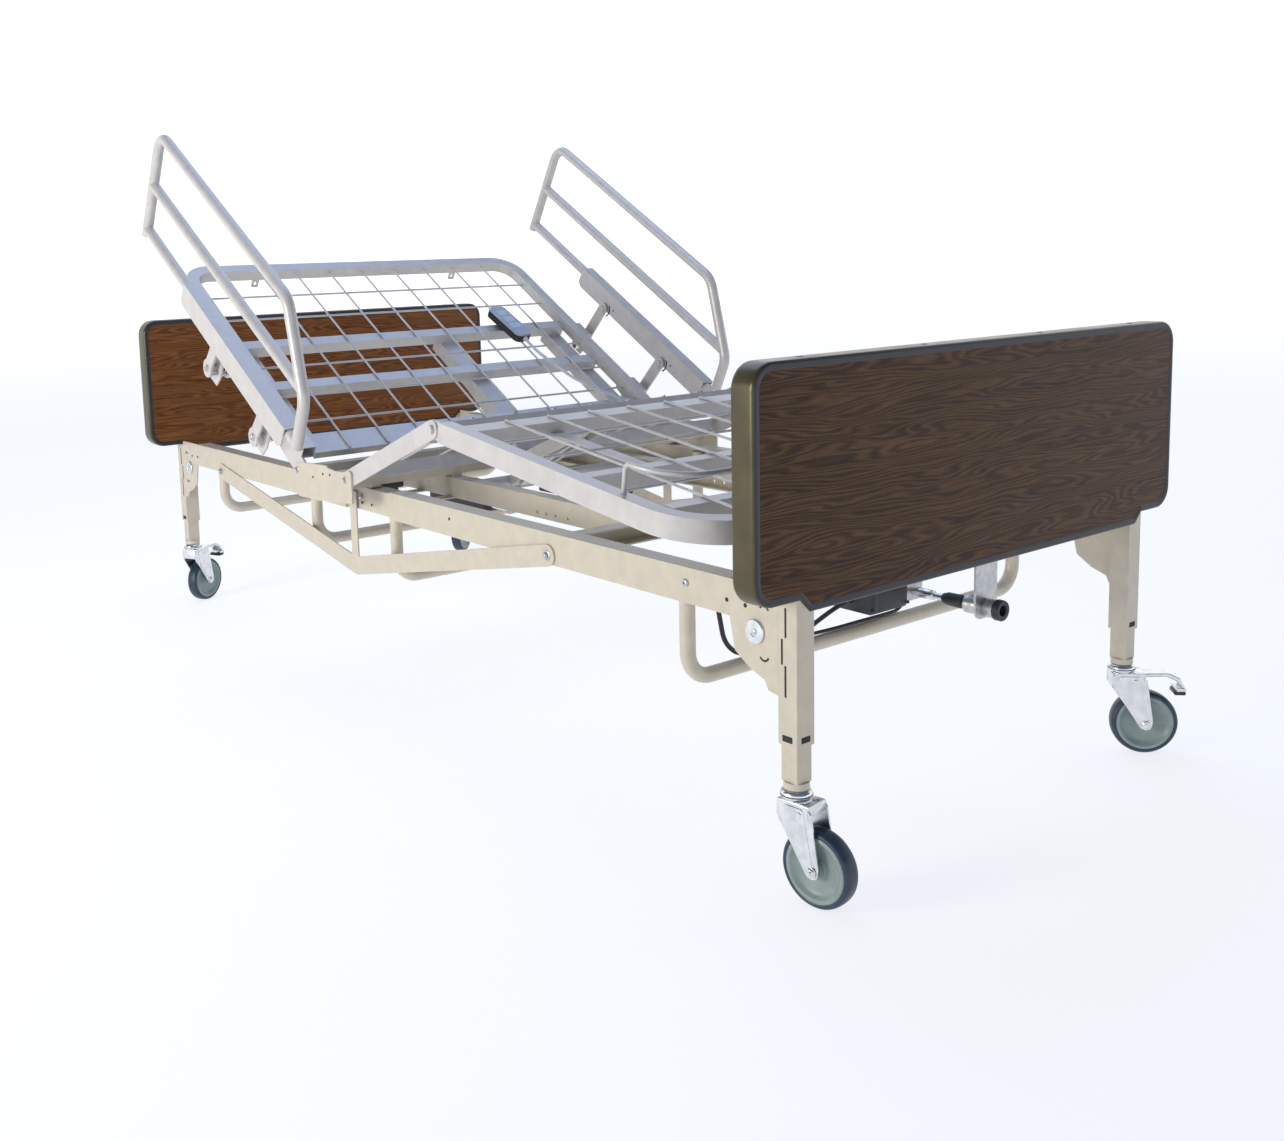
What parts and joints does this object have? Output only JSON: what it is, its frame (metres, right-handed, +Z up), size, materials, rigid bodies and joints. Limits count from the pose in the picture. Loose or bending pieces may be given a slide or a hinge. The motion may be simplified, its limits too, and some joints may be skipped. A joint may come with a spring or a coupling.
{
  "type": "adjustable hospital bed",
  "caption": "Wide adjustable hospital bed: sprung wire deck with raised head and knee sections, swing-down half rails, wood-grain end boards and telescoping legs on swivel casters.",
  "frame": {"origin": "on the floor, under the middle of the bed's overall length with its casters as shown, 15.55 mm towards the foot board from the middle between the end boards", "axes": "+X to the right seen from the foot end, +Y from foot to head, +Z up"},
  "size_m": [1.2084, 2.393, 1.2308],
  "materials": {
    "walnut": "satin wood-grain laminate",
    "edge_band": "satin dark bronze",
    "frame_paint": "satin light beige powder coat",
    "deck_paint": "satin light beige powder coat",
    "zinc": "bright zinc plate",
    "black_plastic": "matt black",
    "cable_black": "matt black",
    "cord_grey": "matt light grey",
    "wheel": "light grey centre, dark blue-grey tread",
    "handset": "dark body with a pale face",
    "keys": "pale blue-grey",
    "plug_box": "matt dark"
  },
  "bodies": {
    "base": {"head_board": "walnut", "foot_board": "walnut", "head_board_edge": "edge_band", "foot_board_edge": "edge_band", "leg_sleeves": "frame_paint", "head_rails": "frame_paint", "foot_rails": "frame_paint", "trusses": "frame_paint", "cross_tubes": "frame_paint", "seat_plates": "frame_paint", "seat_frame": "frame_paint", "junction_box": "black_plastic", "height_motor": "black_plastic", "height_gearbox": "zinc", "motor_cables": "cable_black", "frame_bolts": "zinc", "head_drive": "black_plastic", "knee_drive": "black_plastic"},
    "drive_shaft": {"drive_shaft": "zinc"},
    "leg_fl": {"inner_leg_fl": "frame_paint"},
    "caster_fl": {"caster_fork_fl": "zinc"},
    "wheel_fl": {"wheel_fl": "wheel"},
    "leg_fr": {"inner_leg_fr": "frame_paint"},
    "caster_fr": {"caster_fork_fr": "zinc"},
    "wheel_fr": {"wheel_fr": "wheel"},
    "pedal_fr": {"brake_pedal_fr": "zinc"},
    "leg_hl": {"inner_leg_hl": "frame_paint"},
    "caster_hl": {"caster_fork_hl": "zinc"},
    "wheel_hl": {"wheel_hl": "wheel"},
    "pedal_hl": {"brake_pedal_hl": "zinc"},
    "leg_hr": {"inner_leg_hr": "frame_paint"},
    "caster_hr": {"caster_fork_hr": "zinc"},
    "wheel_hr": {"wheel_hr": "wheel"},
    "head_section": {"head_frame": "deck_paint", "head_cross_members": "deck_paint", "head_wires": "deck_paint", "handset": "handset", "handset_cord": "cord_grey", "cord_socket": "plug_box"},
    "head_lift": {"head_lift_arm": "deck_paint"},
    "knee_lift": {"knee_lift_arm": "deck_paint"},
    "head_push_rod": {"head_ram": "zinc"},
    "knee_push_rod": {"knee_ram": "zinc"},
    "thigh_section": {"thigh_frame": "deck_paint"},
    "foot_section": {"foot_frame": "deck_paint", "foot_wires": "deck_paint", "mattress_keeper": "deck_paint"},
    "key_head": {"handset_key_head": "keys"},
    "key_knee": {"handset_key_knee": "keys"},
    "key_height": {"handset_key_height": "keys"},
    "arm_head_left": {"rail_arm_head_left": "deck_paint"},
    "arm_foot_left": {"rail_arm_foot_left": "deck_paint"},
    "rail_left": {"bed_rail_left": "deck_paint"},
    "latch_head_left": {"rail_latch_head_left": "zinc"},
    "latch_foot_left": {"rail_latch_foot_left": "zinc"},
    "arm_head_right": {"rail_arm_head_right": "deck_paint"},
    "arm_foot_right": {"rail_arm_foot_right": "deck_paint"},
    "rail_right": {"bed_rail_right": "deck_paint"},
    "latch_head_right": {"rail_latch_head_right": "zinc"},
    "latch_foot_right": {"rail_latch_foot_right": "zinc"}
  },
  "joints": [
    {"name": "leg_slide_fl", "type": "slide", "parent": "base", "child": "leg_fl", "axis": [0, 0, 1], "range_m": [-0.14, 0.05]},
    {"name": "swivel_fl", "type": "hinge", "parent": "leg_fl", "child": "caster_fl", "pos_m": [-0.42925, -1.09815, 0.16], "axis": [0, 0, 1], "continuous": true},
    {"name": "wheel_spin_fl", "type": "hinge", "parent": "caster_fl", "child": "wheel_fl", "pos_m": [-0.42472, -1.13789, 0.058], "axis": [0.9936, 0.1132, 0], "continuous": true},
    {"name": "leg_slide_fr", "type": "slide", "parent": "base", "child": "leg_fr", "axis": [0, 0, 1], "range_m": [-0.14, 0.05]},
    {"name": "swivel_fr", "type": "hinge", "parent": "leg_fr", "child": "caster_fr", "pos_m": [0.42925, -1.09815, 0.16], "axis": [0, 0, 1], "continuous": true},
    {"name": "wheel_spin_fr", "type": "hinge", "parent": "caster_fr", "child": "wheel_fr", "pos_m": [0.45673, -1.12721, 0.058], "axis": [0.7266, 0.6871, 0], "continuous": true},
    {"name": "brake_pedal_fr", "type": "hinge", "parent": "caster_fr", "child": "pedal_fr", "pos_m": [0.44299, -1.11268, 0.137], "axis": [0.7266, 0.6871, 0], "range_deg": [0, 12]},
    {"name": "leg_slide_hl", "type": "slide", "parent": "base", "child": "leg_hl", "axis": [0, 0, 1], "range_m": [-0.14, 0.05]},
    {"name": "swivel_hl", "type": "hinge", "parent": "leg_hl", "child": "caster_hl", "pos_m": [-0.42925, 1.12925, 0.16], "axis": [0, 0, 1], "continuous": true},
    {"name": "wheel_spin_hl", "type": "hinge", "parent": "caster_hl", "child": "wheel_hl", "pos_m": [-0.39406, 1.14827, 0.058], "axis": [-0.4756, 0.8796, 0], "continuous": true},
    {"name": "brake_pedal_hl", "type": "hinge", "parent": "caster_hl", "child": "pedal_hl", "pos_m": [-0.41166, 1.13876, 0.137], "axis": [-0.4756, 0.8796, 0], "range_deg": [0, 12]},
    {"name": "leg_slide_hr", "type": "slide", "parent": "base", "child": "leg_hr", "axis": [0, 0, 1], "range_m": [-0.14, 0.05]},
    {"name": "swivel_hr", "type": "hinge", "parent": "leg_hr", "child": "caster_hr", "pos_m": [0.42925, 1.12925, 0.16], "axis": [0, 0, 1], "continuous": true},
    {"name": "wheel_spin_hr", "type": "hinge", "parent": "caster_hr", "child": "wheel_hr", "pos_m": [0.46161, 1.15276, 0.058], "axis": [-0.5878, 0.809, 0], "continuous": true},
    {"name": "drive_shaft_turn", "type": "hinge", "parent": "base", "child": "drive_shaft", "pos_m": [0.105, -0.94445, 0.318], "axis": [0, 1, 0], "continuous": true},
    {"name": "head_section_hinge", "type": "hinge", "parent": "base", "child": "head_section", "pos_m": [0, 0.28155, 0.4785], "axis": [1, 0, 0], "range_deg": [-31.2, 33.8]},
    {"name": "head_lift_turn", "type": "hinge", "parent": "base", "child": "head_lift", "pos_m": [0, 0.30755, 0.442], "axis": [1, 0, 0], "range_deg": [-31.2, 33.8]},
    {"name": "head_ram_slide", "type": "slide", "parent": "base", "child": "head_push_rod", "axis": [0, 1, 0], "range_m": [-0.0345, 0.0375]},
    {"name": "thigh_hinge", "type": "hinge", "parent": "base", "child": "thigh_section", "pos_m": [0, 0.06155, 0.482], "axis": [-1, 0, 0], "range_deg": [-21.8, 8]},
    {"name": "knee_hinge", "type": "hinge", "parent": "thigh_section", "child": "foot_section", "pos_m": [0, -0.27549, 0.61681], "axis": [-1, 0, 0], "range_deg": [-11, 29.8]},
    {"name": "knee_lift_turn", "type": "hinge", "parent": "base", "child": "knee_lift", "pos_m": [0, 0.04555, 0.43], "axis": [-1, 0, 0], "range_deg": [-21.8, 8]},
    {"name": "knee_ram_slide", "type": "slide", "parent": "base", "child": "knee_push_rod", "axis": [0, -1, 0], "range_m": [-0.0245, 0.0095]},
    {"name": "key_rock_head", "type": "hinge", "parent": "head_section", "child": "key_head", "pos_m": [0.28203, 0.62697, 0.77257], "axis": [0.9945, 0.0894, 0.0541], "range_deg": [-4, 4], "stiffness_Nm_per_rad": 0.4},
    {"name": "key_rock_knee", "type": "hinge", "parent": "head_section", "child": "key_knee", "pos_m": [0.28527, 0.60059, 0.7566], "axis": [0.9945, 0.0894, 0.0541], "range_deg": [-4, 4], "stiffness_Nm_per_rad": 0.4},
    {"name": "key_rock_height", "type": "hinge", "parent": "head_section", "child": "key_height", "pos_m": [0.28851, 0.57422, 0.74063], "axis": [0.9945, 0.0894, 0.0541], "range_deg": [-4, 4], "stiffness_Nm_per_rad": 0.4},
    {"name": "rail_swing_left", "type": "hinge", "parent": "head_section", "child": "arm_head_left", "pos_m": [-0.5625, 0.62064, 0.6869], "axis": [1, 0, 0], "range_deg": [0, 150]},
    {"name": "rail_level_left", "type": "hinge", "parent": "arm_head_left", "child": "rail_left", "pos_m": [-0.5625, 0.5381, 0.77299], "axis": [1, 0, 0], "range_deg": [-150, 0]},
    {"name": "rail_foot_arm_swing_left", "type": "hinge", "parent": "head_section", "child": "arm_foot_left", "pos_m": [-0.5625, 0.38798, 0.546], "axis": [1, 0, 0], "range_deg": [0, 150]},
    {"name": "latch_pull_head_left", "type": "slide", "parent": "head_section", "child": "latch_head_left", "axis": [1, 0, 0], "range_m": [0, 0.01], "stiffness_N_per_m": 900, "springref_m": -0.004},
    {"name": "latch_pull_foot_left", "type": "slide", "parent": "head_section", "child": "latch_foot_left", "axis": [1, 0, 0], "range_m": [0, 0.01], "stiffness_N_per_m": 900, "springref_m": -0.004},
    {"name": "rail_swing_right", "type": "hinge", "parent": "head_section", "child": "arm_head_right", "pos_m": [0.5625, 0.62064, 0.6869], "axis": [1, 0, 0], "range_deg": [0, 150]},
    {"name": "rail_level_right", "type": "hinge", "parent": "arm_head_right", "child": "rail_right", "pos_m": [0.5625, 0.5381, 0.77299], "axis": [1, 0, 0], "range_deg": [-150, 0]},
    {"name": "rail_foot_arm_swing_right", "type": "hinge", "parent": "head_section", "child": "arm_foot_right", "pos_m": [0.5625, 0.38798, 0.546], "axis": [1, 0, 0], "range_deg": [0, 150]},
    {"name": "latch_pull_head_right", "type": "slide", "parent": "head_section", "child": "latch_head_right", "axis": [-1, 0, 0], "range_m": [0, 0.01], "stiffness_N_per_m": 900, "springref_m": -0.004},
    {"name": "latch_pull_foot_right", "type": "slide", "parent": "head_section", "child": "latch_foot_right", "axis": [-1, 0, 0], "range_m": [0, 0.01], "stiffness_N_per_m": 900, "springref_m": -0.004}
  ],
  "couplings": [
    {"joint": "leg_slide_fr", "follows": "leg_slide_fl", "ratio": 1},
    {"joint": "leg_slide_hl", "follows": "leg_slide_fl", "ratio": 1},
    {"joint": "leg_slide_hr", "follows": "leg_slide_fl", "ratio": 1},
    {"joint": "drive_shaft_turn", "follows": "leg_slide_fl", "rad_per_m": 785},
    {"joint": "head_lift_turn", "follows": "head_section_hinge", "ratio": 1},
    {"joint": "head_ram_slide", "follows": "head_section_hinge", "m_per_rad": 0.0605},
    {"joint": "knee_hinge", "follows": "thigh_hinge", "ratio": -1.36},
    {"joint": "knee_lift_turn", "follows": "thigh_hinge", "ratio": 1},
    {"joint": "knee_ram_slide", "follows": "thigh_hinge", "m_per_rad": 0.0612},
    {"joint": "rail_level_left", "follows": "rail_swing_left", "ratio": -1},
    {"joint": "rail_foot_arm_swing_left", "follows": "rail_swing_left", "ratio": 1},
    {"joint": "rail_level_right", "follows": "rail_swing_right", "ratio": -1},
    {"joint": "rail_foot_arm_swing_right", "follows": "rail_swing_right", "ratio": 1}
  ]
}
